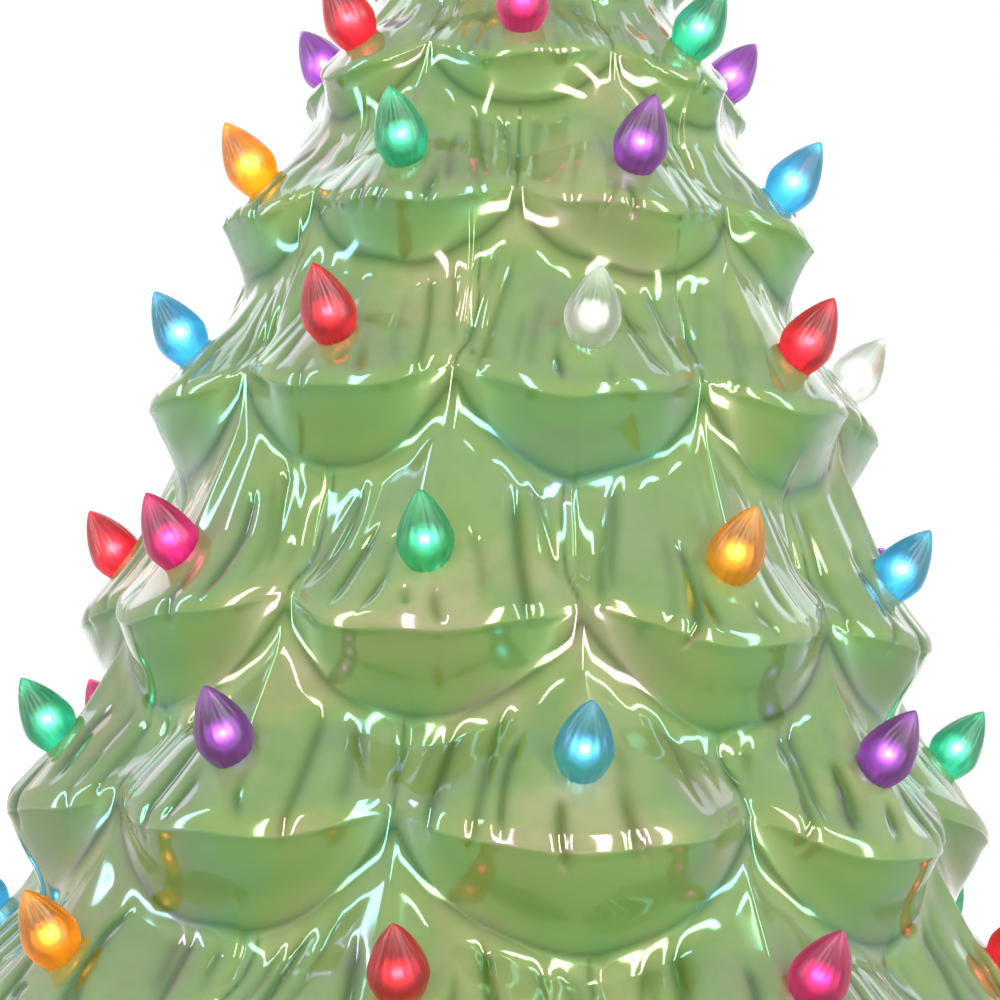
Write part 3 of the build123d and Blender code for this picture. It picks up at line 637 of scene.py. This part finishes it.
BULB_TINTS = {
    "red": ("#CC142A", "#FFB0A8"),
    "pink": ("#CC1870", "#FF9AC8"),
    "green": ("#24A276", "#D8FFEE"),
    "orange": ("#F28C0A", "#FFE8B8"),
    "blue": ("#3399C8", "#D6F4FF"),
    "purple": ("#7C3294", "#F0C8FF"),
    "clear": ("#C2C6BE", "#FFFFFF"),
}
for colour, (dye, glow) in BULB_TINTS.items():
    acrylic = lit_plastic(f"{colour}_acrylic", dye, (0.3, 0.38), 4, 1.0, 0.08)
    # The lit end of the pipe: the eye sees a white spot that fades into the dye
    pipe_end, tree, shader, _ = new_finish(
        f"{colour}_lit_pipe_end", Base_Color=linear(glow), Emission_Color=linear(glow), Alpha=0.14
    )
    feed(shader, Emission_Strength=(add(tree, "Attribute", attribute_name="glow"), "Fac"))
    places, axes = bulb_frames(colour)
    bulbs = grid_mesh(f"{colour}_fluted_bulbs", on_tree(bulb_grid()[None], places, axes))
    add_piece(bulbs, "tree", acrylic, f"{colour}_plastic", f"{colour}_bulbs")
    drops = on_tree(glow_grids(), places, axes)
    levels = np.broadcast_to(np.tile(GLOW_LEVELS, len(places))[:, None, None], drops.shape[:-1])
    lights = grid_mesh(f"{colour}_bulb_light", drops, values={"glow": levels})
    add_piece(lights, "tree", pipe_end, f"{colour}_plastic")

# %% [markdown]
# ## Finishes for the pieces that keep their CAD shape
# The star, the foot and the parts inside are already right as solids, so only their materials change. The
# table below gives each finish two tones, its roughness, the size of its grain in millimetres, and whether
# it is a metal. Real felt, rubber and moulded plastic have a finer grain, which wouldn't show, so it is
# drawn as coarse as it needs to.

# %% Plastics, felt, rubber and metal
PLAIN_FINISHES = {
    "white_abs": ("#E9E7E0", "#DAD7CE", 0.45, 0.6, 0.0),  # warm white with a satin grain
    "black_abs": ("#1B1B1D", "#29292C", 0.5, 0.6, 0.0),  # dark, with a fine moulded grain
    "green_felt": ("#2F5B32", "#3F7340", 0.95, 0.5, 0.0),  # soft and without any shine
    "black_rubber": ("#141414", "#232323", 0.8, 0.4, 0.0),  # matt and nearly black
    "nickel_plated_steel": ("#C9C7C2", "#B1AFAA", 0.25, 2.0, 1.0),  # bright metal, a little uneven
    "cell_jacket": ("#2E2E32", "#3A3A40", 0.35, 5.0, 0.0),  # smooth dark sleeve with a satin sheen
    "green_solder_mask": ("#1E5A35", "#256B40", 0.35, 1.5, 0.0),  # clear green lacquer on the board
    "red_pvc": ("#B01E22", "#C4302E", 0.45, 1.0, 0.0),  # soft red insulation
    "black_pvc": ("#18181A", "#242427", 0.45, 1.0, 0.0),  # soft black insulation
}


def plain_finish(name):
    """A two-tone grained finish: noise at the grain's size mixes the tones and roughens the surface."""
    first_tone, second_tone, rough, grain, metal = PLAIN_FINISHES[name]
    finish, tree, shader, place = new_finish(name, Metallic=metal)
    noise = add(tree, "TexNoise", {"Vector": (place, "Object"), "Scale": 1 / (grain * MM), "Detail": 3.0})
    tones = {"Fac": (noise, "Fac"), "Color1": linear(first_tone), "Color2": linear(second_tone)}
    tone = add(tree, "MixRGB", tones)
    dull = add(tree, "MapRange", {"Value": (noise, "Fac"), "To Min": rough * 0.8, "To Max": rough * 1.2})
    bump = add(tree, "Bump", {"Height": (noise, "Fac"), "Strength": 0.25, "Distance": 0.1 * grain * MM})
    feed(shader, Base_Color=(tone, "Color"), Roughness=(dull, "Result"), Normal=(bump, "Normal"))
    return finish


WORN_BY = {
    "white_abs": ["lamp_post", "switch_slider"],
    "black_abs": ["bottom_plate", "battery_door", "switch_body"],
    "green_felt": ["felt_ring"],
    "black_rubber": ["rubber_feet"],
    "nickel_plated_steel": ["button_contacts", "spring_contacts", "plate_screws", "door_hinge_pin"],
    "cell_jacket": ["left_cell", "middle_cell", "right_cell"],
    "green_solder_mask": ["led_board"],
    "red_pvc": ["red_wire"],
    "black_pvc": ["black_wire"],
}
finishes = {node: plain_finish(name) for name, worn in WORN_BY.items() for node in worn}
finishes["ceramic_base"] = base_glaze
print(len(WORN_BY), "plain finishes on", sum(len(worn) for worn in WORN_BY.values()), "CAD nodes")

# %% Star, diffuser and lamps
# Clear amber with bright edges
finishes["star_topper"] = lit_plastic("amber_acrylic", "#F8C648", (0.08, 0.2), 3, 0.85, 0.1)
# Milky, evenly lit and without a clear view through
finishes["light_diffuser"] = lit_plastic("frosted_acrylic", "#F6F2E8", (0.45, 0.65), 1.5, 0.6, 0.6)
# Small glossy lenses that shine yellow
finishes["leds"] = lit_plastic("yellow_led_resin", "#F4E08A", (0.15, 0.25), 1, 0.0, 1.5)
for name, finish in finishes.items():
    nodes[name].data.materials.clear()
    nodes[name].data.materials.append(finish)
print(len(finishes), "CAD nodes have a finish")

# %% [markdown]
# ## Studio
# The photograph has a white ground and tall soft boxes to both sides of the camera, which show as small
# bright squares on every lip. Two more behind the tree light its back. The floor is pale, and the world is
# white for the camera and for reflections but dimmer as a light, so that the glaze keeps its colour. Each
# strip has a second lamp just behind it that only gloss shows, which makes its squares bright and white.

# %% View transform, and rays that show a surface straight
def seen_directly(tree):
    """A node that gives 1 to rays that show a surface straight, in gloss or through glass."""
    path = add(tree, "LightPath")
    seen = add(tree, "Math", {0: (path, "Is Camera Ray"), 1: (path, "Is Glossy Ray")}, operation="MAXIMUM")
    return add(tree, "Math", {0: (seen, "Value"), 1: (path, "Is Transmission Ray")}, operation="MAXIMUM")


scene = bpy.context.scene
scene.view_settings.view_transform = "Standard"
print("view transform:", scene.view_settings.view_transform)

# %% Floor
FLOOR_RADIUS, FLOOR_THICKNESS, FLOOR_SIDES = 3.0, 0.02, 96
turn = np.linspace(0, 2 * np.pi, FLOOR_SIDES, endpoint=False)
rim = np.stack([np.cos(turn), np.sin(turn), np.zeros_like(turn)], axis=-1)
floor_top, floor_bottom = rim * FLOOR_RADIUS, rim * FLOOR_RADIUS - np.array([0, 0, FLOOR_THICKNESS])
floor_mesh = grid_mesh("floor", np.stack([floor_bottom, floor_top])[None])
floor = bpy.data.objects.new("floor", floor_mesh)
scene.collection.objects.link(floor)
# Paper: the eye sees an even white ground with the tree's shadow on it. Its fibres are drawn coarser than
# real ones, which wouldn't show
paper, tree, shader, place = new_finish("white_paper", Roughness=0.7, Emission_Color=linear("#FFFFFF"))
fibre = add(tree, "TexNoise", {"Vector": (place, "Object"), "Scale": 1 / (3 * MM), "Detail": 3.0})
tones = {"Fac": (fibre, "Fac"), "Color1": linear("#F6F5F2"), "Color2": linear("#F2F1EE")}
tone = add(tree, "MixRGB", tones)
away = add(tree, "VectorMath", {0: (place, "Object")}, operation="LENGTH")
fade = add(tree, "MapRange", {"Value": (away, "Value"), "From Min": 0.4, "From Max": 0.9})
lit = add(tree, "Math", {0: (fade, "Result"), 1: (seen_directly(tree), "Value")}, operation="MULTIPLY")
feed(shader, Base_Color=(tone, "Color"), Emission_Strength=(lit, "Value"))
floor_mesh.materials.append(paper)
print("floor", 2 * FLOOR_RADIUS, "m wide")

# %% World
world = bpy.data.worlds.new("white_studio")
scene.world = world
world.use_nodes = True
tree = world.node_tree
level = add(tree, "MapRange", {"Value": (seen_directly(tree), "Value"), "To Min": 0.3, "To Max": 1.0})
feed(tree.nodes["Background"], Strength=(level, "Result"))
tree.nodes["Background"].inputs["Color"].default_value = (1, 1, 1, 1)
print("world:", world.name)

# %% Soft boxes
# Turn from the front and rise in degrees, width and height in m, power, and power that only gloss shows
SOFT_BOXES = {
    "strip_left": (-25, 17, 0.16, 1.3, 5.8, 8.0),
    "strip_right": (27, 17, 0.2, 1.3, 7.2, 9.0),
    "strip_far_right": (62, 17, 0.13, 1.3, 6.0, 3.0),
    "strip_far_left": (-78, 17, 0.14, 1.3, 7.0, 2.0),
    "wide_back_left": (-150, 35, 1.0, 1.0, 4.5, 0),
    "wide_back_right": (150, 35, 1.0, 1.0, 4.5, 0),
}
AIM, AWAY, BEHIND = Vector((0, 0, 0.2)), 1.3, 0.02
for name, (turn, rise, width, height, power, shine) in SOFT_BOXES.items():
    level, lifted = math.cos(math.radians(rise)), math.sin(math.radians(rise))
    towards = Vector((math.sin(math.radians(turn)) * level, -math.cos(math.radians(turn)) * level, lifted))
    for use, energy, distance in (("light", power, AWAY), ("shine", shine, AWAY + BEHIND)):
        if energy == 0:
            continue
        lamp = bpy.data.lights.new(f"{name}_{use}", "AREA")
        lamp.shape, lamp.size, lamp.size_y, lamp.energy = "RECTANGLE", width, height, energy
        soft_box = bpy.data.objects.new(lamp.name, lamp)
        soft_box.location = AIM + towards * distance
        soft_box.rotation_euler = (-towards).to_track_quat("-Z", "Y").to_euler()
        soft_box.visible_camera = False
        soft_box.visible_diffuse = use == "light"
        scene.collection.objects.link(soft_box)
print(len(SOFT_BOXES), "soft boxes")

# %% [markdown]
# ## Camera
# The camera's place was fitted to where the bulbs and lips stand in the photograph: about 0.65 m in front
# of the axis and a little below the middle, looking slightly up, and turned a little about its own line of
# sight because the photograph isn't quite level.

# %% The photograph's camera
FOCAL_PIXELS, IMAGE_PIXELS, SENSOR = 2410, 1000, 36
CAMERA_PLACE = (0, -0.6461, 0.140)
PITCH, ROLL, YAW = math.radians(4.39), math.radians(2.05), math.radians(-0.25)
camera = bpy.data.objects.new("camera", bpy.data.cameras.new("camera"))
camera.data.lens = SENSOR * FOCAL_PIXELS / IMAGE_PIXELS
camera.data.sensor_width = SENSOR
level_right = Vector((math.cos(YAW), -math.sin(YAW), 0))
level_ahead = Vector((math.sin(YAW), math.cos(YAW), 0))
ahead = level_ahead * math.cos(PITCH) + Vector((0, 0, math.sin(PITCH)))
upward = Vector((0, 0, math.cos(PITCH))) - level_ahead * math.sin(PITCH)
right = level_right * math.cos(ROLL) + upward * math.sin(ROLL)
top = upward * math.cos(ROLL) - level_right * math.sin(ROLL)
camera.matrix_world = Matrix.Translation(CAMERA_PLACE) @ Matrix((right, top, -ahead)).transposed().to_4x4()
scene.collection.objects.link(camera)
scene.camera = camera
print("lens in mm:", round(camera.data.lens, 1))
